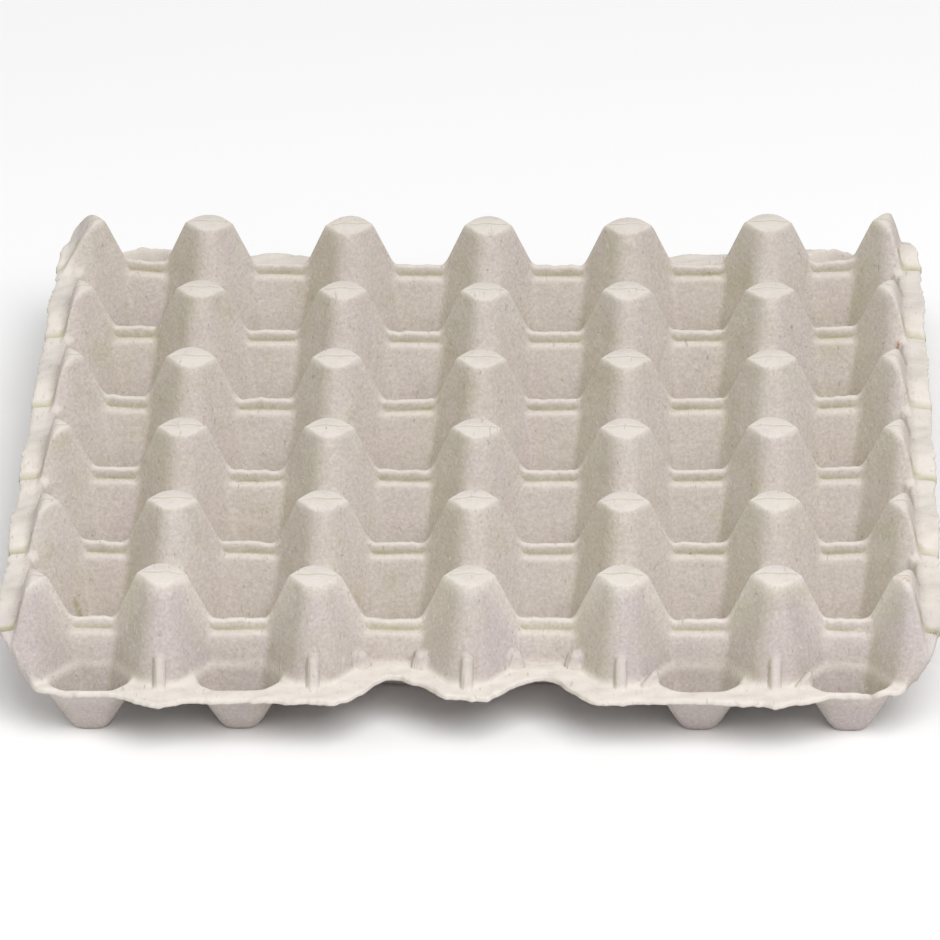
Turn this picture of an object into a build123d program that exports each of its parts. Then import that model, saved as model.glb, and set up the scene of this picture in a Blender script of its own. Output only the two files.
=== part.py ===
from build123d import *

# Thirty-cell egg tray, one sheet of moulded pulp drawn region by region. Millimetres, +Z up.
# X runs along the six columns and Y along the five rows. The origin is at the middle of the tray,
# on the surface that its feet stand on.
#
# The sheet is everything below its upper face less everything below its lower face. Each face is
# put together from straight-sided blocks: posts, cells, crests, pockets and rims. The regions meet
# face to face on the planes through the post centres, so together they are the whole sheet.

import os
from math import hypot

# Grid and levels
PITCH = 47.5                # between post centres, both ways
COLUMNS = 6
ROWS = 5
HEIGHT = 47.0               # feet to post tops
SADDLE_Z = 30.7             # crest between two posts, and the side rims
LEDGE_Z = 26.5              # small ledge below the crests that run along X
RIM_Z = 18.3                # front and back rims
WALL = 2.0                  # sheet thickness of a level face
WALL_LEVEL = 2.2            # the same sheet measured level through a steep wall
END_Y = ROWS * PITCH / 2    # end posts
SIDE_X = 137.2              # side posts
LAST_X = 2 * PITCH          # last full posts before the side posts
COLUMN_2_X = 1.5 * PITCH    # middles of the second and the outer columns of cells
COLUMN_1_X = 2.5 * PITCH

# A post in plan is a hexagon: tips along X, flats facing front and back
SKEW = 1.257                # rise over run of the hexagon's slanted sides
CAP_TIP = 7.4
CAP_FLAT = 5.4
SADDLE_TIP = 15.1
SADDLE_FLAT = 14.2
FLOOR_TIP = 28.3
RIM_FLAT = 20.3             # flat of an end post where it meets the rim
SIDE_CAP_TIP = 6.6          # the same on side posts, which are cut off at the rim
SIDE_SADDLE_TIP = 12.5
SIDE_FLOOR_TIP = 25.5

# A cell's walls, measured from the planes through the post centres
CREST_HALF = 0.8            # crests that run along X
CREST_FOOT_HALF = 1.1
LEDGE_WALL = 2.2
FLOOR_WALL = 12.0
SADDLE_HALF = 3.8           # saddles that run along Y
SADDLE_FLOOR_WALL = 13.2

# Side rims
SIDE_INNER_X = 139.5        # where a side cell meets its rim
SIDE_OUTER_X = 146.3
SIDE_FLOOR_X = 126.8        # foot of a side cell's outer wall
HUMP_Z = 38.0               # rim's outer edge beside each side post
HUMP_CAP_HALF = 5.0
HUMP_FOOT_HALF = 13.0

# End rims: (distance from the middle, distance beyond the end posts)
RIM_OUTLINE = [(PITCH, 30.0), (COLUMN_2_X, 27.8), (LAST_X, 30.0), (COLUMN_1_X, 24.0),
               (131.0, 20.0), (136.5, 7.0), (SIDE_INNER_X, 0.0)]
MID_REACH = 29.0
SCALLOP_RADIUS = 15.3
SCALLOP_REACH = 14.0

# End pockets: half cells whose bottoms are the outermost feet. (half width, distance beyond the
# end posts) of each corner, at the rim and at the floor
POCKET_RIM = [(7.4, 5.5), (13.6, 13.3), (12.0, 18.8), (7.5, 22.4)]
POCKET_FLOOR = [(3.2, 10.5), (4.8, 12.0), (4.4, 13.6), (3.0, 14.6)]

# Ribs at the foot of each end post that keep nested trays from jamming
LUG_HALF = 1.4
LUG_REACH = 22.0
LUG_TOP_Z = 26.0


def between(z, z_low, z_high, at_low, at_high):
    """Value at height z on the straight line through two heights."""
    return at_low + (z - z_low) / (z_high - z_low) * (at_high - at_low)


def grow(points, distance):
    """Move every side of a convex anticlockwise outline outward, or inward if negative."""
    sides = []
    for (ax, ay), (bx, by) in zip(points, points[1:] + points[:1]):
        length = hypot(bx - ax, by - ay)
        nx, ny = (by - ay) / length, (ax - bx) / length
        sides.append((nx, ny, nx * ax + ny * ay + distance))
    grown = []
    for (a, b, c), (d, e, f) in zip(sides[-1:] + sides[:-1], sides):
        det = a * e - b * d
        grown.append(((c * e - b * f) / det, (a * f - c * d) / det))
    return grown


def frustum(low, z_low, high, z_high):
    """Straight-sided block between two outlines with the same number of corners."""
    ends = [make_face(Polyline(*[(x, y, z) for x, y in outline], close=True))
            for outline, z in ((low, z_low), (high, z_high))]
    return loft(ends, ruled=True)


def block(x0, x1, y0, y1, z0, z1):
    return Pos((x0 + x1) / 2, (y0 + y1) / 2, (z0 + z1) / 2) * Box(x1 - x0, y1 - y0, z1 - z0)


def prism(profile, x0, x1):
    """Block along X with a section of (y, z) points."""
    section = make_face(Polyline(*[(x0, y, z) for y, z in profile], close=True))
    return extrude(section, amount=x1 - x0, dir=(1, 0, 0))


# Posts ----------------------------------------------------------------------------------------

def post_outline(x, y, z, side):
    """Hexagon of a post at height z, centred on x, y."""
    tips = (SIDE_FLOOR_TIP, SIDE_SADDLE_TIP, SIDE_CAP_TIP) if side else (FLOOR_TIP, SADDLE_TIP, CAP_TIP)
    if z >= SADDLE_Z:
        tip = between(z, SADDLE_Z, HEIGHT, tips[1], tips[2])
        flat = between(z, SADDLE_Z, HEIGHT, SADDLE_FLAT, CAP_FLAT)
    else:
        tip = between(z, WALL, SADDLE_Z, tips[0], tips[1])
        flat = between(z, RIM_Z, SADDLE_Z, RIM_FLAT, SADDLE_FLAT)
    run = tip - flat / SKEW
    corners = [(tip, 0), (run, flat), (-run, flat), (-tip, 0), (-run, -flat), (run, -flat)]
    return [(x + u, y + v) for u, v in corners]


def post(x, y, z_low, z_high, inner, side=False):
    """Part of a post between two heights; inner gives the hollow below the sheet."""
    drop, shrink = (WALL, -WALL_LEVEL) if inner else (0, 0)
    low = grow(post_outline(x, y, z_low, side), shrink)
    high = grow(post_outline(x, y, z_high, side), shrink)
    return frustum(low, z_low - drop, high, z_high - drop)


def cell_posts(x0, x1, inner, side):
    """The four posts of a cell, above the saddles."""
    posts = [post(x, y, SADDLE_Z, HEIGHT, inner, side and x == x0)
             for x in (x0, x1) for y in (0, PITCH)]
    return posts[0] + posts[1] + posts[2] + posts[3]


# Cells ----------------------------------------------------------------------------------------

def crest_wall(z):
    return between(z, WALL, LEDGE_Z, FLOOR_WALL, LEDGE_WALL)


def saddle_wall(z):
    return between(z, WALL, SADDLE_Z, SADDLE_FLOOR_WALL, SADDLE_HALF)


def cell_outline(x0, x1, z, wall, side):
    """Octagon of a cell at height z, between posts at x0 and x1; wall is its front wall's y."""
    tip = between(z, WALL, SADDLE_Z, FLOOR_TIP, SADDLE_TIP)
    left_tip = between(z, WALL, SADDLE_Z, SIDE_FLOOR_TIP, SIDE_SADDLE_TIP) if side else tip
    left = -between(z, WALL, SADDLE_Z, SIDE_FLOOR_X, SIDE_INNER_X) if side else x0 + saddle_wall(z)
    right = x1 - saddle_wall(z)
    front = [(x0 + left_tip - wall / SKEW, wall), (x1 - tip + wall / SKEW, wall),
             (right, SKEW * (tip - x1 + right)), (left, SKEW * (left_tip + x0 - left))]
    (x_a, y_a), (x_b, y_b), (x_c, y_c), (x_d, y_d) = front
    return [(x_a, y_a), (x_b, y_b), (x_c, y_c), (x_c, PITCH - y_c),
            (x_b, PITCH - y_b), (x_a, PITCH - y_a), (x_d, PITCH - y_d), (x_d, y_d)]


def cell(x0, x1, edge, side=False):
    """Cell between posts at x0 and x1, its front posts on y = 0, cut at x = edge."""
    def outline(z, wall):
        return cell_outline(x0, x1, z, wall, side)
    hollow = frustum(outline(WALL, FLOOR_WALL), WALL, outline(LEDGE_Z, LEDGE_WALL), LEDGE_Z)
    hollow += frustum(outline(LEDGE_Z, CREST_FOOT_HALF), LEDGE_Z,
                      outline(SADDLE_Z, CREST_HALF), SADDLE_Z)
    skin_top = SADDLE_Z - WALL
    skin = frustum(grow(outline(0, crest_wall(0)), WALL_LEVEL), 0,
                   grow(outline(skin_top, crest_wall(skin_top)), WALL_LEVEL), skin_top)
    tile = block(edge, x1, 0, PITCH, 0, HEIGHT)
    upper = block(edge, x1, 0, PITCH, 0, SADDLE_Z) - hollow + (cell_posts(x0, x1, False, side) & tile)
    lower = block(edge, x1, 0, PITCH, 0, skin_top) - skin + (cell_posts(x0, x1, True, side) & tile)
    return upper - lower


# Rims -----------------------------------------------------------------------------------------

def pocket_outline(x, z):
    corners = [tuple(between(z, WALL, RIM_Z, low, high) for low, high in zip(floor, rim))
               for floor, rim in zip(POCKET_FLOOR, POCKET_RIM)]
    right = [(x + u, v) for u, v in corners]
    return right + [(x - u, v) for u, v in reversed(corners)]


def end_rim():
    """The rim beyond the back end posts, with y = 0 on their centres."""
    reach = [(PITCH / 2 + SCALLOP_RADIUS, MID_REACH)] + RIM_OUTLINE[:-1]
    edge_x, _ = RIM_OUTLINE[-1]
    outline = [(edge_x, 0)] + reach[::-1] + [(-x, y) for x, y in reach] + [(-edge_x, 0)]
    sheet = make_face(Polyline(*outline, close=True))
    for x in (-PITCH / 2, PITCH / 2):
        sheet -= Pos(x, SCALLOP_REACH + SCALLOP_RADIUS) * Circle(SCALLOP_RADIUS)
    upper = extrude(sheet, amount=RIM_Z)
    under_z = RIM_Z - WALL
    lower = block(-edge_x, edge_x, 0, 2 * MID_REACH, 0, under_z)
    upper += prism([(0, RIM_Z), (crest_wall(RIM_Z), RIM_Z), (LEDGE_WALL, LEDGE_Z),
                    (CREST_FOOT_HALF, LEDGE_Z), (CREST_HALF, SADDLE_Z), (0, SADDLE_Z)], -edge_x, edge_x)
    lower += prism([(0, under_z), (crest_wall(under_z) - WALL_LEVEL, under_z), (0, LEDGE_Z)],
                   -edge_x, edge_x)
    tile = block(-edge_x, edge_x, 0, 2 * MID_REACH, 0, HEIGHT)
    between_sides = block(WALL - edge_x, edge_x - WALL, 0, 2 * MID_REACH, 0, SADDLE_Z)
    for x in (-LAST_X, -PITCH, 0, PITCH, LAST_X, -SIDE_X, SIDE_X):
        at_side = abs(x) == SIDE_X
        upper += post(x, 0, RIM_Z, SADDLE_Z, False, at_side) & tile
        upper += post(x, 0, SADDLE_Z, HEIGHT, False, at_side) & tile
        lower += post(x, 0, RIM_Z, SADDLE_Z, True, at_side) & between_sides
        lower += post(x, 0, SADDLE_Z, HEIGHT, True, at_side) & tile
        if not at_side:
            upper += block(x - LUG_HALF, x + LUG_HALF, SADDLE_FLAT, LUG_REACH, RIM_Z, LUG_TOP_Z)
    for x in (-COLUMN_1_X, -COLUMN_2_X, COLUMN_2_X, COLUMN_1_X):
        upper -= frustum(pocket_outline(x, WALL), WALL, pocket_outline(x, RIM_Z), RIM_Z)
        lower -= frustum(grow(pocket_outline(x, 0), WALL_LEVEL), 0,
                         grow(pocket_outline(x, under_z), WALL_LEVEL), under_z)
    return upper - lower


def hump(y, inner):
    """Rise of the left rim beside a side post; inner gives the hollow below the sheet."""
    drop = WALL if inner else 0
    faces = []
    for x, top_z in ((-SIDE_INNER_X, HEIGHT), (-SIDE_OUTER_X, HUMP_Z)):
        corners = [(-HUMP_FOOT_HALF + drop, SADDLE_Z), (HUMP_FOOT_HALF - drop, SADDLE_Z),
                   (HUMP_CAP_HALF - drop, top_z), (-HUMP_CAP_HALF + drop, top_z)]
        faces.append(make_face(Polyline(*[(x, y + v, z - drop) for v, z in corners], close=True)))
    return loft(faces, ruled=True)


def side_rim():
    """The left rim: a level strip that humps up to meet each side post."""
    reach = END_Y + HUMP_FOOT_HALF
    strip = block(-SIDE_OUTER_X, -SIDE_INNER_X, -reach, reach, SADDLE_Z - WALL, SADDLE_Z)
    for row in range(ROWS + 1):
        strip += hump(row * PITCH - END_Y, False)
    for row in range(ROWS + 1):
        strip -= hump(row * PITCH - END_Y, True)
    return strip


# Sub-parts ------------------------------------------------------------------------------------

def sub_parts():
    """Every region of the sheet in its place, by name."""
    parts = {}
    inner_cell = cell(0, PITCH, 0)
    left_cell = cell(-SIDE_X, -LAST_X, -SIDE_INNER_X, side=True)
    right_cell = mirror(left_cell, about=Plane.YZ)
    for row in range(1, ROWS + 1):
        y = END_Y - row * PITCH
        for column in range(2, COLUMNS):
            x = (column - 1 - COLUMNS / 2) * PITCH
            parts[f"cell_row{row}_column{column}"] = Pos(x, y, 0) * inner_cell
        parts[f"cell_row{row}_column1"] = Pos(0, y, 0) * left_cell
        parts[f"cell_row{row}_column{COLUMNS}"] = Pos(0, y, 0) * right_cell

    whole = end_rim()
    pieces = {"left": (-SIDE_INNER_X, -PITCH), "middle": (-PITCH, PITCH), "right": (PITCH, SIDE_INNER_X)}
    for name, (x0, x1) in pieces.items():
        back = Pos(0, END_Y, 0) * (whole & block(x0, x1, 0, 2 * MID_REACH, 0, HEIGHT))
        parts["back_rim_" + name] = back
        parts["front_rim_" + name] = mirror(back, about=Plane.XZ)

    parts["left_rim"] = side_rim()
    parts["right_rim"] = mirror(parts["left_rim"], about=Plane.YZ)
    return parts


os.makedirs("parts", exist_ok=True)
for name, shape in sub_parts().items():
    export_step(shape, f"parts/{name}.step")
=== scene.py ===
"""Thirty-cell egg tray of moulded pulp: a thin shell drawn from formulas, one piece per CAD region.

Lengths are in millimetres until a mesh is made. The origin is the middle of the tray on the floor,
X runs along the six columns, Y along the five rows towards the back, and Z is up.
"""
import math

import bpy
import numpy as np
from mathutils import Matrix, Vector


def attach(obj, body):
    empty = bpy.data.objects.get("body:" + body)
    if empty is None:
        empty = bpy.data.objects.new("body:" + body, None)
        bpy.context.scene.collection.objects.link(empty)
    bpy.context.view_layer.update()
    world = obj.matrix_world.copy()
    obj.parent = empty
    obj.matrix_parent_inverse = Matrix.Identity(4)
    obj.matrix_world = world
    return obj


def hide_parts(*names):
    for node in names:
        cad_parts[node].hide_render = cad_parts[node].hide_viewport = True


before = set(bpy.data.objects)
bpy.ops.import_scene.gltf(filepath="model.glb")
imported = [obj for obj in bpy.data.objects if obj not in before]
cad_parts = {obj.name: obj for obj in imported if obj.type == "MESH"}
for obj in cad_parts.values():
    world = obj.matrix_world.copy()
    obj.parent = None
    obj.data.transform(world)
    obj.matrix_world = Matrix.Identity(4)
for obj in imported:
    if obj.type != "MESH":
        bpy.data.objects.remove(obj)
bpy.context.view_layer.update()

MM = 0.001

# Grid and levels
PITCH = 47.5
ROW_COUNT = 5
COLUMN_COUNT = 6
END_Y = ROW_COUNT * PITCH / 2
SIDE_X = 2.9 * PITCH
LAST_X = 2 * PITCH
HEIGHT = 47.0
FLOOR_Z = 2.0
RIM_Z = 18.3
CREST_Z = 30.8
SADDLE_Z = 29.6
SHEET = 2.0

# Post: planes are given by the distance from its middle at the cap's height and by their slope
POST_SKEW = Vector((1.255, 1.0)).normalized()
SLANT_AT_CAP = 6.05
SIDE_SLANT_AT_CAP = 5.3
SLANT_SLOPE = 2.79
FLAT_AT_CAP = 6.9
FLAT_SLOPE = 2.23
CAP_DOME = 1.0
CAP_TILT = 0.02
CAP_CREASE_DEPTH = 0.35      # thin fold across a cap
CAP_CREASE_WIDTH = 0.32
CAP_CREASE_HALF = 6.0
LENS_TIP = 8.0               # half sizes of the lens-shaped edge of a cap
LENS_FLAT = 6.0
LENS_LIFT = 0.5
LENS_SLOPE = 1.9             # fall just outside that edge, how far it goes, and the fall beyond
LENS_BAND = 1.6
LENS_SKIRT = 0.3
END_FACE_SLOPE = 2.35        # end faces of the four corner posts
POST_LEAN = 0.15             # how much posts differ in place and in height
POST_LIFT = 0.3
POST_REACH = (27.0, 28.0)    # a post is worked out only this far along X and Y

# Crests along X: half a section, (distance from the crest, height)
CREST_SECTION = [(0.0, 30.8), (0.5, 30.7), (0.9, 30.3), (1.15, 29.6), (1.3, 28.5), (1.4, 27.7),
                 (1.65, 27.3), (2.4, 27.0), (3.1, 26.5), (3.6, 25.5)]
CREST_SLOPE = 2.7
CREST_SIDE_LIFT = 0.9        # how much higher the crests of the outer cells are
CREST_EDGE = 1.35            # the rough and nicked top reaches this far from the crest's line
NICK_FROM = 1.3              # waves higher than this are nicks, this deep for each unit
NICK_DEPTH = 0.6

# Saddles along Y
SADDLE_HALF = 3.7
SADDLE_SLOPE = 3.05
SADDLE_DIP = 1.0             # fall from a post to the middle between two
SADDLE_CROWN = 0.03
SADDLE_REACH = 26.0          # a saddle is worked out only this far along X

# Side rims
SIDE_FLOOR_X = 126.8
SIDE_WALL_SLOPE = 2.52
SIDE_INNER_X = 138.5
SIDE_OUTER_X = 146.6
BAND_Z = 33.2                # lowest level of a side rim's inner edge, and its climb to a half post
BAND_RISE = 4.2
BAND_SLOPE = 0.12
CLIMB_FROM = 0.28            # share of the climb that the fold itself makes
CLIMB_END = 0.2              # shares of the pitch, from one fold, where the climb and the fall end
FALL_END = 0.82
CREASE_AT = 10.2             # fold in front of the half post, where the next climb begins
CREASE_WIDTH = 0.5
CREASE_DEPTH = 0.5
TONGUE_X = 142.2             # inside this the fold bends back along the half post, on these radii
TONGUE_ACROSS = 3.0
TONGUE_ALONG = 4.2
TONGUE_RADIUS = 3.2          # the same bend taken as one circle
TONGUE_INNER_X = 138.6       # the fold ends here, or this near the half post's middle
TONGUE_END = 5.0
# Outer side of a half post: (distance from the middle, height)
FLANK = [(130.0, 52.0), (135.3, 47.4), (137.0, 45.0), (138.3, 40.8), (139.2, 37.4), (140.2, 33.0),
         (150.0, 0.0)]
BACK_LEFT_FLANK = [(128.5, 51.5), (132.5, 48.6), (137.6, 43.5), (141.7, 37.5), (144.0, 33.0),
                   (149.0, 22.0)]
WALL_LIFT = 4.4              # how much higher the side walls stand beside the half posts
WALL_LIFT_REACH = 9.5
WALL_END_FALL = 1.6          # slope of the side walls beyond the end posts
BACK_TAPER = 3.2             # how far the side rims draw in towards their back ends
BACK_END_FALL = 0.4

# End rims: half of the outline, (distance from the middle, distance beyond the end posts)
OUTLINE = [(0, 26.6), (6, 26.2), (10, 23.4), (14, 18.6), (19, 15.2), (23.5, 14.2), (28, 16.4),
           (32.5, 22.8), (37, 27.8), (41, 29.2), (47.5, 29.6), (55, 28.6), (71, 27.8), (84, 29.2),
           (95, 30.6), (104, 27.6), (113, 24.2), (126, 23.2), (131, 21.6), (133.4, 20.8),
           (135.2, 17.8), (138.4, 16.8), (140.4, 15.6), (142.4, 13.4), (144.2, 11.4), (150.0, 7.0)]
BACK_ARCH = 5.4              # rise of the back rim behind the outer and the inner pockets
BACK_INNER_ARCH = 1.8
BACK_ARCH_HALF = 14.5
BACK_ARCH_FROM = 15.0        # it rises between these distances beyond the end posts
BACK_ARCH_TO = 21.0
BACK_POCKET_LESS = 2.6
POCKET_COLUMNS = (-117.8, -1.5 * PITCH, 1.5 * PITCH, 117.8)
POCKET_REACH = 22.0          # a pocket's walls are worked out only this far to its sides
# Pocket walls: direction in plan, distance from the pocket's middle at the rim's level, slope
POCKET_WALLS = [((0.0, 1.0), 22.4, 2.1), ((0.625, 0.781), 22.2, 1.85), ((0.96, 0.28), 16.8, 1.85)]
LUG_RADIUS = 1.9
LUG_TOP = (17.0, 25.2)       # (distance beyond the end posts, height) of a lug's two ends
LUG_FOOT = (21.0, 17.6)
PINCH_X = (PITCH, LAST_X)    # posts with a small slanting ridge beside their lug, at the front only
PINCH_FROM = np.array((7.4, -19.5, 18.2))    # its two ends, from the post's middle
PINCH_TO = np.array((10.2, -16.0, 20.1))
PINCH_RADIUS = 1.5
KNOB_X = (-33.6, -15.0, 14.2, 32.9)
KNOB_RADIUS = 2.7
KNOB_AT = (7.5, 20.9)        # (distance beyond the end posts, height)
NUB_RADIUS = 2.2
NUB_AT = (139.0, 13.6, 31.6)    # distances from the middle and in front of the half post, and height
BOW = 0.35                   # warp of the whole tray

# Unevenness: height, longest and shortest wavelength, number of waves, seed
CREST_WANDER = (0.3, 60, 18, 6, 40)
CREST_ROUGH = (0.13, 14, 3.5, 12, 60)
CREST_NICKS = (1, 30, 6, 10, 80)
SADDLE_WANDER = (0.5, 70, 25, 5)     # the seeds of these two go by the column
SADDLE_ROUGH = (0.12, 12, 4, 10)
BAND_ROUGH = (0.15, 26, 8, 10, 160)
RIM_ROUGH = (0.15, 18, 6, 10, 180)
FLOOR_ROUGH = (0.2, 20, 7, 10, 200)
END_EDGE_WANDER = (0.5, 26, 7, 10, 220)
END_EDGE_TORN = (0.22, 9, 2.5, 10, 230)
SIDE_EDGE_TORN = (0.16, 9, 2.5, 10, 240)

# Mesh
FIXED_REACH = 6.0            # grid lines stay straight this far beyond the end posts
END_LINES = 34
SIDE_LINES = 18
SIDE_CROWDING = 1.25         # makes the side rims' lines closer at their inner edges
EDGE_ROUND = 0.4             # the outer edge is this much lower on top and higher below
EDGE_ROUND_BELOW = 0.3
EDGE_BULGE = 0.35
EDGE_THICKEST = 2.6

# Rounding where two surfaces meet
ROUND_FLOOR = 3.0
ROUND_SADDLE = 2.2
ROUND_BAND = 2.2
ROUND_RIM = 1.6
ROUND_POST_FOOT = 3.2
ROUND_POST_SIDES = 7.0
ROUND_LENS = 1.2
ROUND_FLANK = 2.4
ROUND_SIDE_CAP = 2.0
ROUND_CAP = 0.7
ROUND_LUG = 1.8
ROUND_POCKET = 2.5
ROUND_CREST_UNDER = 2.0
ROUND_SADDLE_TOP = 3.0
NOWHERE = -50.0              # a height that never shows

POST_X = [-SIDE_X, -LAST_X, -PITCH, 0.0, PITCH, LAST_X, SIDE_X]
POST_Y = [END_Y - PITCH * row for row in range(ROW_COUNT + 1)]

rng = np.random.default_rng(7)


# Smooth building blocks -----------------------------------------------------------------------

def soft_max(a, b, r):
    """Higher of two surfaces, rounded where they are less than r apart."""
    h = np.clip(r - np.abs(a - b), 0, None) / r
    return np.maximum(a, b) + h * h * r / 4


def soft_min(a, b, r):
    """Lower of two surfaces, rounded in the same way."""
    return -soft_max(-a, -b, r)


def fade(value, start, end):
    """Share that goes from 0 at start to 1 at end, where end may be the smaller one."""
    return np.clip((value - start) / (end - start), 0, 1)


def waves(x, y, height, longest, shortest, count, seed):
    """Smooth random field of about this height, with wavelengths between the two given."""
    draw = np.random.default_rng(seed)
    total = np.zeros_like(x)
    for _ in range(count):
        angle = draw.uniform(0, math.tau)
        length = math.exp(draw.uniform(math.log(shortest), math.log(longest)))
        k = math.tau / length
        total += np.sin(k * (math.cos(angle) * x + math.sin(angle) * y) + draw.uniform(0, math.tau))
    return height * (total * math.sqrt(2 / count))


def plane(distance, at, slope, level, t):
    """Face that falls with distance from a given level; t is the depth below the upper surface."""
    return level - slope * (distance - at) - t * math.sqrt(1 + slope * slope)


def steps(*stretches):
    """Positions from 0 on, each stretch given by its end and its step."""
    marks = [0.0]
    for end, step in stretches:
        count = max(1, round((end - marks[-1]) / step))
        start = marks[-1]
        marks += [start + (end - start) * (k + 1) / count for k in range(count)]
    return np.array(marks)


# The surface ----------------------------------------------------------------------------------

# For each post: its lift, its lean along X and Y, and the phase of the fold in its cap
post_jitter = rng.normal(0, 1, (len(POST_X), len(POST_Y), 4))


def nearest_post(x, y):
    """Offsets from the nearest post's middle, and that post's indices."""
    i = np.abs(x[..., None] - POST_X).argmin(-1)
    j = np.abs(y[..., None] - POST_Y).argmin(-1)
    return x - np.array(POST_X)[i], y - np.array(POST_Y)[j], i, j


def cap_crease(x, y):
    """Depth, from 0 to 1, of the thin fold across each post's cap."""
    u, v, i, j = nearest_post(x, y)
    line = v - 0.3 - 0.3 * np.sin(u * 0.8 + 3 * post_jitter[i, j, 3])
    return np.exp(-(line / CAP_CREASE_WIDTH) ** 2) * (np.abs(u) < CAP_CREASE_HALF)


def beyond_lens(u, v):
    """Distance outside the lens-shaped edge of a post's cap, about its middle."""
    return 0.85 * (np.abs(v) + LENS_FLAT * (u / LENS_TIP) ** 2 - LENS_FLAT)


def posts(x, y, t):
    """Six-sided posts whose caps are lens-shaped; the outer ones are cut off by the side rims."""
    best = np.full_like(x, NOWHERE)
    for i, px in enumerate(POST_X):
        for j, py in enumerate(POST_Y):
            near = (np.abs(x - px) < POST_REACH[0]) & (np.abs(y - py) < POST_REACH[1])
            if not near.any():
                continue
            lift, lean_x, lean_y, _ = post_jitter[i, j]
            side = i in (0, len(POST_X) - 1)
            u = x[near] - px - POST_LEAN * lean_x
            v = y[near] - py - POST_LEAN * lean_y
            inward = -u * np.sign(px) if side else np.abs(u)
            slant = POST_SKEW.x * inward + POST_SKEW.y * np.abs(v)
            at = SIDE_SLANT_AT_CAP if side else SLANT_AT_CAP
            top = HEIGHT + POST_LIFT * lift - CAP_DOME * ((u / 7) ** 2 * 0.5 + (v / 7) ** 2 * 0.8)
            top = top + CAP_TILT * (lean_x * u + lean_y * v) - t
            if t == 0:
                top = top - CAP_CREASE_DEPTH * cap_crease(x[near], y[near])
            corner = side and abs(py) == END_Y
            end_slope = np.where(corner & (v * py > 0), END_FACE_SLOPE, FLAT_SLOPE)
            flat = HEIGHT - end_slope * (np.abs(v) - FLAT_AT_CAP) - t * np.sqrt(1 + end_slope ** 2)
            body = soft_min(plane(slant, at, SLANT_SLOPE, HEIGHT, t), flat, ROUND_POST_SIDES)
            beyond = beyond_lens(u, v)
            lens = HEIGHT + LENS_LIFT - LENS_SLOPE * np.clip(beyond, -9, LENS_BAND)
            lens = lens - LENS_SKIRT * np.clip(beyond - LENS_BAND, 0, None)
            body = soft_min(body, lens - t, ROUND_LENS)
            if side:
                outside = BACK_LEFT_FLANK if px < 0 and py == END_Y else FLANK
                flank = np.interp(np.abs(x[near]), *zip(*outside)) - 2.2 * t
                body = soft_min(body, flank, ROUND_FLANK)
            capped = soft_min(body, top, ROUND_SIDE_CAP if side else ROUND_CAP)
            best[near] = np.maximum(best[near], capped)
    return best


def crest_distance(x, y):
    """Distance in plan from the nearest crest, whose line wanders a little."""
    j = np.abs(y[..., None] - POST_Y).argmin(-1)
    shift = waves(x, 90.0 * j, *CREST_WANDER)
    return np.abs(y - np.array(POST_Y)[j] - shift)


def crests(x, y, t):
    """Thin crests along X through every row of posts, with a ledge below."""
    v = crest_distance(x, y)
    edge, edge_z = CREST_SECTION[-1]
    wall = edge_z - CREST_SLOPE * (v - edge)
    if t == 0:
        row = 70.0 * np.round(y / PITCH - 0.5)
        z = np.where(v < edge, np.interp(v, *zip(*CREST_SECTION)), wall)
        nick = np.clip(waves(x, row, *CREST_NICKS) - NICK_FROM, 0, 1.2)
        z = z + (waves(x, row, *CREST_ROUGH) - NICK_DEPTH * nick) * (v < CREST_EDGE)
    else:
        z = wall - t * math.sqrt(1 + CREST_SLOPE ** 2)
        z = soft_min(z, CREST_Z - t + 0 * v, ROUND_CREST_UNDER)
    return z + CREST_SIDE_LIFT * fade(np.abs(x), 106, 126) * fade(v, 8, 0)


def saddles(x, y, t):
    """Broad saddles along Y between the posts of a column."""
    best = np.full_like(x, NOWHERE)
    inside = np.abs(y) < END_Y
    phase = (y + END_Y) / PITCH
    dip = SADDLE_DIP * np.sin(math.pi * (phase - np.floor(phase)))
    for i, px in enumerate(POST_X[1:-1]):
        near = inside & (np.abs(x - px) < SADDLE_REACH)
        if not near.any():
            continue
        shift = waves(0 * y[near] + 7.0 * i, y[near], *SADDLE_WANDER, seed=120 + i)
        u = np.abs(x[near] - px - shift)
        top = SADDLE_Z + 0.9 - dip[near] - SADDLE_CROWN * u * u - t
        if t == 0:
            top = top + waves(x[near], y[near], *SADDLE_ROUGH, seed=140 + i)
        sides = plane(u, SADDLE_HALF, SADDLE_SLOPE, SADDLE_Z + 0.6, t)
        best[near] = soft_min(sides, top, ROUND_SADDLE_TOP)
    return best


def crease_line(x, y):
    """Depth, from 0 to 1, of the fold that ends each half post's outer side: a U open to the back."""
    out = np.abs(x)
    deepest = np.zeros_like(x)
    for py in POST_Y:
        ahead = py - y
        straight = np.exp(-((ahead - CREASE_AT) / CREASE_WIDTH) ** 2) * (out > TONGUE_X)
        across = np.clip((TONGUE_X - out) / TONGUE_ACROSS, 0, None)
        along = np.clip((ahead - CREASE_AT) / TONGUE_ALONG + 1, 0, None)
        bend = np.exp(-((np.hypot(across, along) - 1) * TONGUE_RADIUS / CREASE_WIDTH) ** 2)
        bend = bend * (out <= TONGUE_X) * (ahead > TONGUE_END) * (out > TONGUE_INNER_X)
        deepest = np.maximum(deepest, np.maximum(straight, bend))
    return deepest


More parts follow.
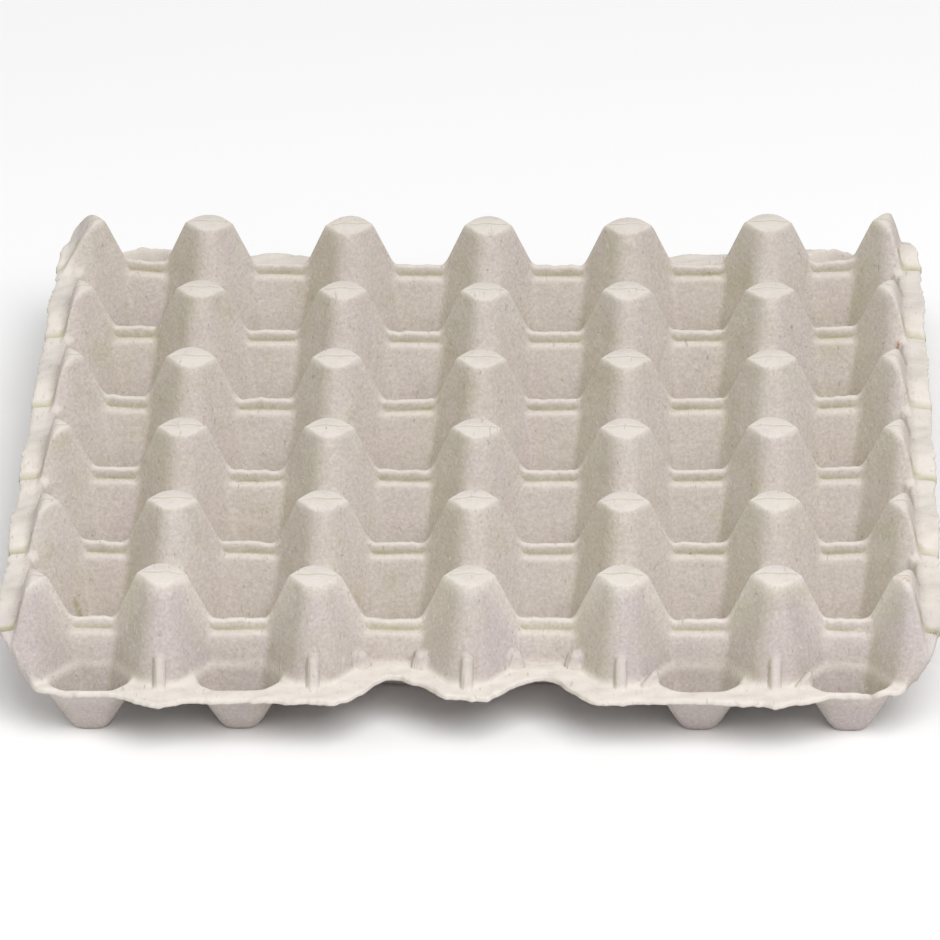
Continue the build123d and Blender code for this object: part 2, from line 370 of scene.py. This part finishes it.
def side_bands(x, y, t):
    """Side walls of the outer cells and the rims on top of them, which climb to each half post."""
    out = np.abs(x)
    wall = FLOOR_Z + SIDE_WALL_SLOPE * (out - SIDE_FLOOR_X) - t * math.sqrt(1 + SIDE_WALL_SLOPE ** 2)
    wall = wall + WALL_LIFT * np.exp(-(nearest_post(x, y)[1] / WALL_LIFT_REACH) ** 2)
    along = (y + END_Y + CREASE_AT) / PITCH
    along -= np.floor(along)
    climb = CLIMB_FROM + (1 - CLIMB_FROM) * np.sin(fade(along, 0, CLIMB_END) * math.pi / 2)
    rise = climb * np.cos(fade(along, CLIMB_END, FALL_END) * math.pi / 2) ** 2
    band = BAND_Z + BAND_RISE * rise - BAND_SLOPE * (out - SIDE_INNER_X) - t
    if t == 0:
        band = band + waves(x, y, *BAND_ROUGH) - CREASE_DEPTH * crease_line(x, y)
    reach = np.abs(y) - END_Y
    wall = wall - WALL_END_FALL * np.clip(reach, 0, None) * fade(out, 139.5, 136.5)
    band = band - END_FACE_SLOPE * np.clip(reach - CREASE_AT - 1, 0, None)
    band = band - BACK_END_FALL * np.clip(y - END_Y, 0, None)
    return soft_min(wall, band, ROUND_RIM)


def end_rims(x, y, t):
    """Flat rims beyond the end posts, with the pockets whose bottoms are the outer feet."""
    d = np.abs(y) - END_Y
    flat = RIM_Z + 0 * x - t
    if t == 0:
        flat = flat + waves(x, y, *RIM_ROUGH)
    rim = flat
    for cx in POCKET_COLUMNS:
        a = np.abs(x - cx)
        arch = np.sqrt(np.cos(fade(a, 0, BACK_ARCH_HALF) * math.pi / 2))
        arch = arch * fade(d, BACK_ARCH_FROM, BACK_ARCH_TO)
        rise = BACK_ARCH if abs(cx) > LAST_X else BACK_INNER_ARCH
        rim = rim + rise * arch * (y > 0)
        hollow = np.full_like(x, FLOOR_Z) - t
        for (na, nd), at, slope in POCKET_WALLS:
            at = at - BACK_POCKET_LESS * nd * (y > 0)
            wall = plane(-(na * a + nd * d), -at, slope, RIM_Z, t)
            hollow = soft_max(hollow, wall, ROUND_POCKET)
        rim = np.where(a < POCKET_REACH, soft_min(rim, hollow, ROUND_RIM), rim)
    return np.where(d > 0, rim, NOWHERE)


def ball(x, y, place, radius):
    """Upper half of a ball."""
    inside = radius ** 2 - (x - place[0]) ** 2 - (y - place[1]) ** 2
    return np.where(inside > 0, place[2] + np.sqrt(np.clip(inside, 0, None)), NOWHERE)


def lugs(x, y):
    """Lugs at the foot of the end posts, ridges beside two, knobs by the notches, nubs at the sides."""
    balls = []
    for end in (-1, 1):
        for px in POST_X[1:-1]:
            for share in np.linspace(0, 1, 7):
                reach = LUG_TOP[0] + share * (LUG_FOOT[0] - LUG_TOP[0])
                z = LUG_TOP[1] + share * (LUG_FOOT[1] - LUG_TOP[1])
                balls.append(((px - 0.4, end * (END_Y + reach), z), LUG_RADIUS))
        for px in KNOB_X:
            balls.append(((px, end * (END_Y + KNOB_AT[0]), KNOB_AT[1]), KNOB_RADIUS))
        for py in POST_Y[:-1]:
            balls.append(((end * NUB_AT[0], py - NUB_AT[1], NUB_AT[2]), NUB_RADIUS))
    for px in PINCH_X:
        for share in np.linspace(0, 1, 5):
            place = (px, -END_Y, 0) + PINCH_FROM + share * (PINCH_TO - PINCH_FROM)
            balls.append((place, PINCH_RADIUS))
    best = np.full_like(x, NOWHERE)
    for place, radius in balls:
        best = np.maximum(best, ball(x, y, place, radius))
    return best


def surface(x, y, t=0.0):
    """Height of the sheet's upper face, or of its lower face where t is the thickness."""
    inside = np.abs(y) < END_Y
    floor = np.where(inside, FLOOR_Z - t, NOWHERE)
    if t == 0:
        floor = floor + waves(x, y, *FLOOR_ROUGH)
    z = soft_max(floor, crests(x, y, t), ROUND_FLOOR)
    z = soft_max(z, saddles(x, y, t), ROUND_SADDLE)
    z = soft_max(z, side_bands(x, y, t), ROUND_BAND)
    z = soft_max(z, end_rims(x, y, t), ROUND_RIM)
    z = soft_max(z, posts(x, y, t), ROUND_POST_FOOT)
    if t == 0:
        z = soft_max(z, lugs(x, y), ROUND_LUG)
    return z


def bow(x, y):
    """How far the tray has warped out of flat, most at its two back corners."""
    a, b = x / PITCH, y / PITCH
    return BOW * PITCH * (0.0067 * a * a + 0.0027 * b * b + 0.0034 * a * a * b)


# Grid of the shell ----------------------------------------------------------------------------

def grid():
    """X and Y of every point. Lines run through the post centres, and lie closest at the crests."""
    half = steps((0.9, 0.3), (1.9, 0.14), (3.9, 0.33), (8.0, 0.52), (PITCH / 2, 0.75))
    whole = np.concatenate([half, PITCH - half[-2::-1]])
    rows = np.concatenate([whole[:-1] + PITCH * k for k in range(ROW_COUNT)] + [[ROW_COUNT * PITCH]])
    rows -= END_Y
    columns = np.concatenate([whole[:-1] + PITCH * k for k in range(4)] + [[4 * PITCH]]) - LAST_X
    last = LAST_X + half
    outer = SIDE_INNER_X - steps((8.0, 0.5), (SIDE_INNER_X - last[-1], 0.75))[::-1]
    outer = np.concatenate([last[1:], outer[1:]])
    s_side = np.linspace(0, 1, SIDE_LINES + 1)[1:] ** SIDE_CROWDING
    xs = np.concatenate([-outer[::-1], columns, outer])
    fixed = half[(half > 0) & (half <= FIXED_REACH)]
    s_end = np.linspace(0, 1, END_LINES + 1)[1:]

    y_lines = np.concatenate([-END_Y - fixed[::-1], rows, END_Y + fixed])
    n_end = len(s_end)
    rows_nominal = np.concatenate([np.full(n_end, y_lines[0]), y_lines, np.full(n_end, y_lines[-1])])
    side_reach = SIDE_OUTER_X + 0.35 * np.sin(rows_nominal * 0.17)
    side_reach += 0.12 * np.sin(rows_nominal * 0.41 + 2)
    side_reach += waves(rows_nominal, 0 * rows_nominal, *SIDE_EDGE_TORN)
    side_reach -= BACK_TAPER * fade(rows_nominal, END_Y - 14, END_Y + 2) ** 2
    X = np.empty((len(xs) + 2 * SIDE_LINES, len(rows_nominal)))
    X[SIDE_LINES:-SIDE_LINES] = xs[:, None]
    X[-SIDE_LINES:] = xs[-1] + s_side[:, None] * (side_reach - xs[-1])[None]
    X[:SIDE_LINES] = -X[-SIDE_LINES:][::-1]
    Y = np.repeat(rows_nominal[None], len(X), 0)
    limit = np.interp(np.abs(X[:, 0]), *zip(*OUTLINE))
    limit += waves(X[:, 0], 0 * X[:, 0], *END_EDGE_WANDER)
    kernel = np.hanning(9) / np.hanning(9).sum()
    limit = np.convolve(np.pad(limit, 4, mode="edge"), kernel, mode="valid")
    limit += waves(X[:, 0], 0 * X[:, 0], *END_EDGE_TORN)
    start = y_lines[-1] - END_Y
    stretch = start + s_end[None] * (limit[:, None] - start)
    Y[:, -n_end:] = END_Y + stretch
    Y[:, :n_end] = -END_Y - stretch[:, ::-1]
    return X, Y


X, Y = grid()


# Meshes ---------------------------------------------------------------------------------------

def grid_normals(z):
    """Unit normals, upwards, of the surface with these heights."""
    points = np.stack([X, Y, z], -1)
    along = np.cross(np.gradient(points, axis=0), np.gradient(points, axis=1))
    return along / np.linalg.norm(along, axis=-1, keepdims=True)


top_z = surface(X, Y)
low_z = surface(X, Y, SHEET)
for edge in (np.s_[0, :], np.s_[-1, :], np.s_[:, 0], np.s_[:, -1]):
    top_z[edge] -= EDGE_ROUND
    low_z[edge] = np.maximum(low_z[edge], top_z[edge] - EDGE_THICKEST) + EDGE_ROUND_BELOW
warp = bow(X, Y)
top_normal = grid_normals(top_z + warp)
low_normal = -grid_normals(low_z + warp)


def wear_and_highlight_field():
    """How pale the sheet is: real scuffing plus painted highlight on up-facing caps, crests, ledges and
    the outer edge.
    """
    u, across, i, _ = nearest_post(X, Y)
    half_post = (i == 0) | (i == len(POST_X) - 1)
    # Caps and crest lips: partly real scuffing, partly painted highlight on their up-facing tops
    lens = 0.8 * fade(beyond_lens(u, across), 0.9, 0.1) * fade(top_z, 44, 44.5)
    caps = np.where(half_post, np.minimum(fade(top_z, 44.6, HEIGHT), 0.8), lens)
    v = crest_distance(X, Y)
    crest = 0.7 * fade(v, 1.15, 0.85) * fade(top_z, 28.6, 29.6) * np.maximum(fade(top_z, 33, 31.5), 0.2)
    # Painted highlight: the up-facing ledge below each crest is made paler
    ledge = 0.6 * np.exp(-(v - 2.8) ** 2) * fade(np.abs(top_z - 26.8), 1.5, 0)
    # Painted highlight on the up-facing side bands, end rims and lug tops
    band = fade(np.abs(X), 139.5, 142)
    d = np.abs(Y) - END_Y
    rim = fade(d, 5, 8) * fade(np.abs(top_z - RIM_Z), 1.5, 0.5)
    rim = np.maximum(rim, fade(d, 18, 20) * fade(top_z - RIM_Z, -1.5, -0.5))
    lug = 0.75 * fade(np.abs(top_z - lugs(X, Y)), 1.2, 0.2)
    return np.maximum.reduce([lug, caps, crest, ledge, band, rim])


def shade_field():
    """Painted shade, from 0 to 1: how much darker the sheet is made in its folds, below the crests' lips
    and on the sides facing left, plus one real scratch.
    """
    v = crest_distance(X, Y)
    # Painted shade: the shadow beneath each crest's lip, which the height field can't undercut
    under_lip = np.exp(-((v - 1.42) / 0.2) ** 2) * fade(np.abs(top_z - 28), 1.8, 0)
    scratch = np.exp(-((X + 124.8 + 0.35 * (top_z - 12)) / 0.55) ** 2) * (np.abs(top_z - 12) < 4.5)
    scratch = 1.6 * scratch * (np.abs(Y + 79) < 8)
    # Painted shade: slopes facing left, away from the key light, are darkened towards olive
    facing_left = np.clip(-1.3 * top_normal[..., 0] - 0.1, 0, 1) * fade(np.abs(X), 136, 132)
    # Painted shade also along the U-shaped folds and the fold across each cap; the scratch is real
    fields = [under_lip, 0.9 * crease_line(X, Y), 0.8 * cap_crease(X, Y) * (top_z > 45),
              0.42 * facing_left, scratch]
    return np.clip(np.maximum.reduce(fields), 0, 1)


def stain_field():
    """Rust-brown stains at two of the right half posts."""
    stain = np.zeros_like(X)
    for x, row, ahead, radius in ((137.8, 1, 14.8, 1.0), (134.6, 5, 2.2, 1.2)):
        stain += np.exp(-((X - x) ** 2 + (Y - POST_Y[row] + ahead) ** 2) / radius ** 2)
    return np.clip(stain, 0, 1)


def front_and_underside_shade_field():
    """Painted shade on the faces in front of the front posts, which are made greyer and darker than the
    insides of the cells.
    """
    d = -Y - END_Y
    off_rim = 1 - np.exp(-((top_z - RIM_Z) / 1.3) ** 2)
    return fade(d, 1, 7) * fade(top_z, 46, 42) * off_rim


wear_and_highlight = wear_and_highlight_field()
shade = shade_field()
stain = stain_field()
outer = front_and_underside_shade_field()
top_z += warp
low_z += warp


def perimeter(i0, i1, j0, j1):
    """Grid points round a rectangle of the grid, in order."""
    path = [(i, j0) for i in range(i0, i1)] + [(i1, j) for j in range(j0, j1)]
    path += [(i, j1) for i in range(i1, i0, -1)] + [(i0, j) for j in range(j1, j0, -1)]
    return np.array(path)


def shell_piece(name, i0, i1, j0, j1):
    """Closed piece of the shell between two X lines and two Y lines."""
    n, m = i1 - i0 + 1, j1 - j0 + 1
    part = np.s_[i0:i1 + 1, j0:j1 + 1]
    top = np.stack([X[part], Y[part], top_z[part]], -1).reshape(-1, 3)
    low = np.stack([X[part], Y[part], low_z[part]], -1).reshape(-1, 3)
    ring_at = perimeter(i0, i1, j0, j1)
    local = (ring_at[:, 0] - i0) * m + ring_at[:, 1] - j0
    flow = np.roll(top[local], -1, 0) - np.roll(top[local], 1, 0)
    outward = np.stack([flow[:, 1], -flow[:, 0], 0 * flow[:, 0]], -1)
    outward /= np.linalg.norm(outward, axis=1, keepdims=True)
    free = ((ring_at[:, 0] == 0) | (ring_at[:, 0] == len(X) - 1)
            | (ring_at[:, 1] == 0) | (ring_at[:, 1] == X.shape[1] - 1))
    ring = (top[local] + low[local]) / 2 + outward * EDGE_BULGE * free[:, None]

    size = n * m
    i, j = np.meshgrid(np.arange(n - 1), np.arange(m - 1), indexing="ij")
    a = (i * m + j).ravel()
    upper = np.stack([a, a + m, a + m + 1, a + 1], -1)
    lower = upper[:, ::-1] + size
    here = np.arange(len(local))
    following = np.roll(here, -1)
    r0, r1 = 2 * size + here, 2 * size + following
    skirt_top = np.stack([local[here], r0, r1, local[following]], -1)
    skirt_low = np.stack([r0, local[here] + size, local[following] + size, r1], -1)
    faces = np.concatenate([upper, lower, skirt_top, skirt_low])
    points = np.concatenate([top, low, ring]) * MM

    up = top_normal[part].reshape(-1, 3)
    down = low_normal[part].reshape(-1, 3)
    vertex_normal = np.concatenate([up, down, outward])
    loops = vertex_normal[faces]
    side = len(upper) + len(lower)
    rim = len(here)
    for k, corner in ((0, here), (3, following)):
        mixed = outward[corner] + 0.8 * up[local[corner]]
        loops[side:side + rim, k] = mixed / np.linalg.norm(mixed, axis=1, keepdims=True)
    for k, corner in ((1, here), (2, following)):
        mixed = outward[corner] + 0.8 * down[local[corner]]
        loops[side + rim:, k] = mixed / np.linalg.norm(mixed, axis=1, keepdims=True)

    mesh = bpy.data.meshes.new(name)
    mesh.vertices.add(len(points))
    mesh.vertices.foreach_set("co", points.ravel())
    mesh.loops.add(faces.size)
    mesh.loops.foreach_set("vertex_index", faces.ravel())
    mesh.polygons.add(len(faces))
    mesh.polygons.foreach_set("loop_start", np.arange(len(faces)) * 4)
    mesh.update(calc_edges=True)
    mesh.polygons.foreach_set("use_smooth", np.ones(len(faces), bool))
    mesh.normals_split_custom_set(loops.reshape(-1, 3))
    # The lower face shows a quarter of the scuffing and painted highlight, of the painted shade and of
    # the stains, and all of it takes the painted shade of the front faces
    for label, field in (("wear_and_highlight", wear_and_highlight), ("shade", shade), ("stain", stain), ("outer", outer)):
        below = np.ones(size) if label == "outer" else 0.25 * field[part].ravel()
        values = np.concatenate([field[part].ravel(), below, field[ring_at[:, 0], ring_at[:, 1]]])
        mesh.attributes.new(label, "FLOAT", "POINT").data.foreach_set("value", values.astype(np.float32))
    piece = bpy.data.objects.new(name, mesh)
    bpy.context.collection.objects.link(piece)
    return piece


# Material -------------------------------------------------------------------------------------

class Nodes:
    """Short way to add and join shader nodes. Inputs are numbers, vectors or other nodes' outputs."""

    def __init__(self, tree):
        self.tree = tree

    def add(self, kind, inputs=None, **settings):
        node = self.tree.nodes.new(kind)
        for key, value in settings.items():
            setattr(node, key, value)
        for key, value in (inputs or {}).items():
            if isinstance(value, bpy.types.NodeSocket):
                self.tree.links.new(value, node.inputs[key])
            else:
                node.inputs[key].default_value = value
        return node

    def noise(self, where, scale, detail=4.0, roughness=0.55, distortion=0.0):
        """Noise with this many waves to the metre."""
        node = self.add("ShaderNodeTexNoise", {"Vector": where, "Scale": scale, "Detail": detail,
                                               "Roughness": roughness, "Distortion": distortion})
        return node.outputs["Fac"]

    def ramp(self, value, low, high, to_low=0.0, to_high=1.0):
        """Value carried over from one range to another, and kept inside it."""
        node = self.add("ShaderNodeMapRange", {"Value": value, "From Min": low, "From Max": high,
                                               "To Min": to_low, "To Max": to_high})
        return node.outputs["Result"]

    def math(self, operation, a, b):
        return self.add("ShaderNodeMath", {0: a, 1: b}, operation=operation).outputs["Value"]

    def attribute(self, name):
        return self.add("ShaderNodeAttribute", attribute_name=name).outputs["Fac"]

    def stretched(self, where, scale, turn):
        """Coordinates turned and scaled, for noise that runs in one direction."""
        node = self.add("ShaderNodeMapping", {"Vector": where, "Rotation": turn, "Scale": scale})
        return node.outputs["Vector"]


def colour(red, green, blue):
    """Linear colour from display values out of 255."""
    def linear(value):
        value /= 255
        return value / 12.92 if value <= 0.04045 else ((value + 0.055) / 1.055) ** 2.4
    return (linear(red), linear(green), linear(blue), 1.0)


def mix_colours(nodes, factor, a, b, blend="MIX"):
    """Colour a with b blended over it."""
    node = nodes.tree.nodes.new("ShaderNodeMix")
    node.data_type = "RGBA"
    node.blend_type = blend
    sockets = [s for s in node.inputs if s.enabled]
    for socket, value in zip(sockets, (factor, a, b)):
        if isinstance(value, bpy.types.NodeSocket):
            nodes.tree.links.new(value, socket)
        else:
            socket.default_value = value
    return next(s for s in node.outputs if s.enabled)


PULP_WARM = colour(202, 193, 183)
PULP_COOL = colour(205, 197, 190)
PULP_KHAKI = colour(187, 179, 160)
PULP_MAUVE = colour(200, 188, 186)
PULP_WORN_AND_HIGHLIGHT = colour(222, 215, 207)
SHADE_AND_SCRATCH_COLOUR = colour(165, 162, 123)
FRONT_AND_UNDERSIDE_SHADE = colour(236, 234, 237)
RUST = colour(176, 120, 74)
LIGHT_FIBRE = colour(224, 218, 209)
DARK_FIBRE = colour(134, 124, 108)
SPECK = colour(100, 88, 70)


def pulp_material():
    """Warm grey moulded pulp: mottled, fibrous, pale where scuffed and with painted highlight on
    up-facing tops, painted shade in folds, under lips, on left-facing slopes, the front faces and
    underside, with specks and a few stains.
    """
    material = bpy.data.materials.new("moulded_pulp")
    material.use_nodes = True
    nodes = Nodes(material.node_tree)
    shader = material.node_tree.nodes["Principled BSDF"]
    where = nodes.add("ShaderNodeTexCoord").outputs["Object"]

    base = mix_colours(nodes, nodes.ramp(nodes.noise(where, 38, 3), 0.38, 0.62), PULP_WARM, PULP_COOL)
    khaki = nodes.ramp(nodes.noise(where, 85, 4), 0.52, 0.72, 0.0, 0.5)
    base = mix_colours(nodes, khaki, base, PULP_KHAKI)
    skewed = nodes.stretched(where, (1, 1, 0.6), (0.4, 0.2, 1.1))
    mauve = nodes.ramp(nodes.noise(skewed, 75, 4), 0.46, 0.7, 0, 0.6)
    base = mix_colours(nodes, mauve, base, PULP_MAUVE)

    grain = nodes.ramp(nodes.noise(where, 900, 3, 0.6), 0.3, 0.7, 0.88, 1.12)
    grey_grain = nodes.add("ShaderNodeCombineColor", {0: grain, 1: grain, 2: grain}).outputs[0]
    base = mix_colours(nodes, 1.0, base, grey_grain, "MULTIPLY")

    # Patches of real scuffing and painted highlight on the up-facing tops
    pale_patches = nodes.ramp(nodes.noise(where, 210, 4), 0.3, 0.55, 0.6, 1.0)
    paleness = nodes.math("MULTIPLY", nodes.attribute("wear_and_highlight"), pale_patches)
    base = mix_colours(nodes, paleness, base, PULP_WORN_AND_HIGHLIGHT)
    # Painted shade: the front faces and the whole underside are darkened and greyed
    base = mix_colours(nodes, nodes.attribute("outer"), base, FRONT_AND_UNDERSIDE_SHADE, "MULTIPLY")
    # Painted shade in folds, under lips and on left-facing slopes, and a real scratch
    patchy = nodes.ramp(nodes.noise(where, 120, 3), 0.3, 0.7, 0.5, 1.0)
    shade_amount = nodes.math("MULTIPLY", nodes.attribute("shade"), patchy)
    base = mix_colours(nodes, shade_amount, base, SHADE_AND_SCRATCH_COLOUR)
    blotchy = nodes.ramp(nodes.noise(where, 700, 3), 0.4, 0.6)
    rusty = nodes.math("MULTIPLY", nodes.attribute("stain"), blotchy)
    base = mix_colours(nodes, rusty, base, RUST)

    light_fibres = fibres(nodes, where, 0.55, (0.3, 0.9, 0.4))
    base = mix_colours(nodes, nodes.math("MULTIPLY", light_fibres, 0.35), base, LIGHT_FIBRE)
    dark_fibres = fibres(nodes, where, 0.58, (1.2, 0.1, 2.0))
    base = mix_colours(nodes, nodes.math("MULTIPLY", dark_fibres, 0.45), base, DARK_FIBRE)
    voronoi = nodes.add("ShaderNodeTexVoronoi", {"Vector": where, "Scale": 130.0, "Randomness": 1.0})
    specks = voronoi.outputs
    chosen = nodes.add("ShaderNodeSeparateColor", {0: specks["Color"]}).outputs[0]
    spot = nodes.math("MULTIPLY", nodes.ramp(specks["Distance"], 0.03, 0.075, 1.0, 0.0),
                      nodes.ramp(chosen, 0.88, 0.9))
    base = mix_colours(nodes, nodes.math("MULTIPLY", spot, 0.5), base, SPECK)

    material.node_tree.links.new(base, shader.inputs["Base Color"])
    shader.inputs["Roughness"].default_value = 0.93
    shader.inputs["Specular IOR Level"].default_value = 0.25
    relief = nodes.math("ADD", nodes.math("MULTIPLY", nodes.noise(where, 620, 5, 0.6), 0.6),
                        nodes.math("MULTIPLY", nodes.noise(where, 190, 4), 0.9))
    relief = nodes.math("ADD", relief, nodes.math("MULTIPLY", light_fibres, 0.25))
    bump = nodes.add("ShaderNodeBump", {"Height": relief, "Strength": 0.55, "Distance": 0.0006})
    material.node_tree.links.new(bump.outputs["Normal"], shader.inputs["Normal"])
    return material


def fibres(nodes, where, threshold, turn):
    """Short thin streaks in one direction, broken up by a coarser noise."""
    streak = nodes.noise(nodes.stretched(where, (1.0, 0.16, 0.5), turn), 1100, 2, 0.5, 0.4)
    patch = nodes.noise(nodes.stretched(where, (1, 1, 1), turn), 330, 2)
    return nodes.math("MULTIPLY", nodes.ramp(streak, threshold + 0.04, threshold + 0.14),
                      nodes.ramp(patch, 0.45, 0.6))


# Pieces of the tray ---------------------------------------------------------------------------

def line_of(values, position):
    """Number of the grid line nearest to a position."""
    return int(np.argmin(np.abs(values - position)))


pulp = pulp_material()
x_mid = X[:, X.shape[1] // 2]
y_mid = Y[X.shape[0] // 2]
x_lines = [line_of(x_mid, x) for x in [-SIDE_INNER_X] + POST_X[1:-1] + [SIDE_INNER_X]]
y_lines = [line_of(y_mid, y) for y in POST_Y]
LAST_I, LAST_J = X.shape[0] - 1, X.shape[1] - 1

spans = {}
for row in range(ROW_COUNT):
    for column in range(COLUMN_COUNT):
        spans[f"cell_row{row + 1}_column{column + 1}"] = (x_lines[column], x_lines[column + 1],
                                                         y_lines[row + 1], y_lines[row])
for label, first, last in (("left", 0, 2), ("middle", 2, 4), ("right", 4, 6)):
    spans["back_rim_" + label] = (x_lines[first], x_lines[last], y_lines[0], LAST_J)
    spans["front_rim_" + label] = (x_lines[first], x_lines[last], 0, y_lines[-1])
spans["left_rim"] = (0, x_lines[0], 0, LAST_J)
spans["right_rim"] = (x_lines[-1], LAST_I, 0, LAST_J)

for node, span in spans.items():
    piece = shell_piece("pulp_" + node, *span)
    piece.data.materials.append(pulp)
    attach(piece, "root")
    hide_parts(node)


# Stage, light and camera ----------------------------------------------------------------------

def floor():
    """Plain pale floor, eight metres square."""
    half = 4.0
    mesh = bpy.data.meshes.new("floor")
    corners = [(-half, -half, 0), (half, -half, 0), (half, half, 0), (-half, half, 0)]
    mesh.from_pydata(corners, [], [(0, 1, 2, 3)])
    plate = bpy.data.objects.new("floor", mesh)
    bpy.context.collection.objects.link(plate)
    material = bpy.data.materials.new("floor_paper")
    material.use_nodes = True
    shader = material.node_tree.nodes["Principled BSDF"]
    shader.inputs["Base Color"].default_value = (0.95, 0.95, 0.95, 1)
    shader.inputs["Roughness"].default_value = 0.9
    mesh.materials.append(material)


def area_light(name, place, size, power):
    """Square soft light that faces the tray."""
    light = bpy.data.lights.new(name, "AREA")
    light.size = size
    light.energy = power
    lamp = bpy.data.objects.new(name, light)
    lamp.location = place
    aim = Vector((0, 0, 0.02)) - Vector(place)
    lamp.rotation_euler = aim.to_track_quat("-Z", "Y").to_euler()
    bpy.context.collection.objects.link(lamp)


def surroundings():
    """Even white light from all round."""
    world = bpy.data.worlds.new("studio")
    world.use_nodes = True
    world.node_tree.nodes["Background"].inputs["Color"].default_value = (1, 1, 1, 1)
    world.node_tree.nodes["Background"].inputs["Strength"].default_value = 0.5
    bpy.context.scene.world = world
    bpy.context.scene.view_settings.view_transform = "Standard"


CAMERA_ELEVATION = math.radians(29.15)
CAMERA_YAW = math.radians(-1.77)
CAMERA_ROLL = math.radians(-0.08)
CAMERA_FOCAL_WIDTHS = 7.147
# Middle of the post tops as the camera sees it: right, up and towards the camera, in pitches
CAMERA_VIEW_OF_TRAY = Vector((0.061, 0.542, -45.886))


def camera():
    """Very long lens that looks down at the tray from in front."""
    tilt = Matrix.Rotation(CAMERA_ELEVATION - math.pi / 2, 3, "X")
    turn = Matrix.Rotation(CAMERA_ROLL, 3, "Z") @ Matrix.Rotation(CAMERA_YAW, 3, "Y") @ tilt
    offset = CAMERA_VIEW_OF_TRAY * PITCH
    data = bpy.data.cameras.new("camera")
    data.sensor_width = 36.0
    data.lens = CAMERA_FOCAL_WIDTHS * data.sensor_width
    data.clip_end = 50
    view = bpy.data.objects.new("camera", data)
    place = -(turn.transposed() @ offset) + Vector((0, 0, HEIGHT))
    view.matrix_world = Matrix.Translation(place * MM) @ turn.transposed().to_4x4()
    bpy.context.collection.objects.link(view)
    bpy.context.scene.camera = view


floor()
surroundings()
area_light("key", place=(0.6, -1.25, 2.05), size=1.9, power=48)
area_light("fill", place=(-1.4, -0.5, 1.4), size=1.6, power=4)
camera()
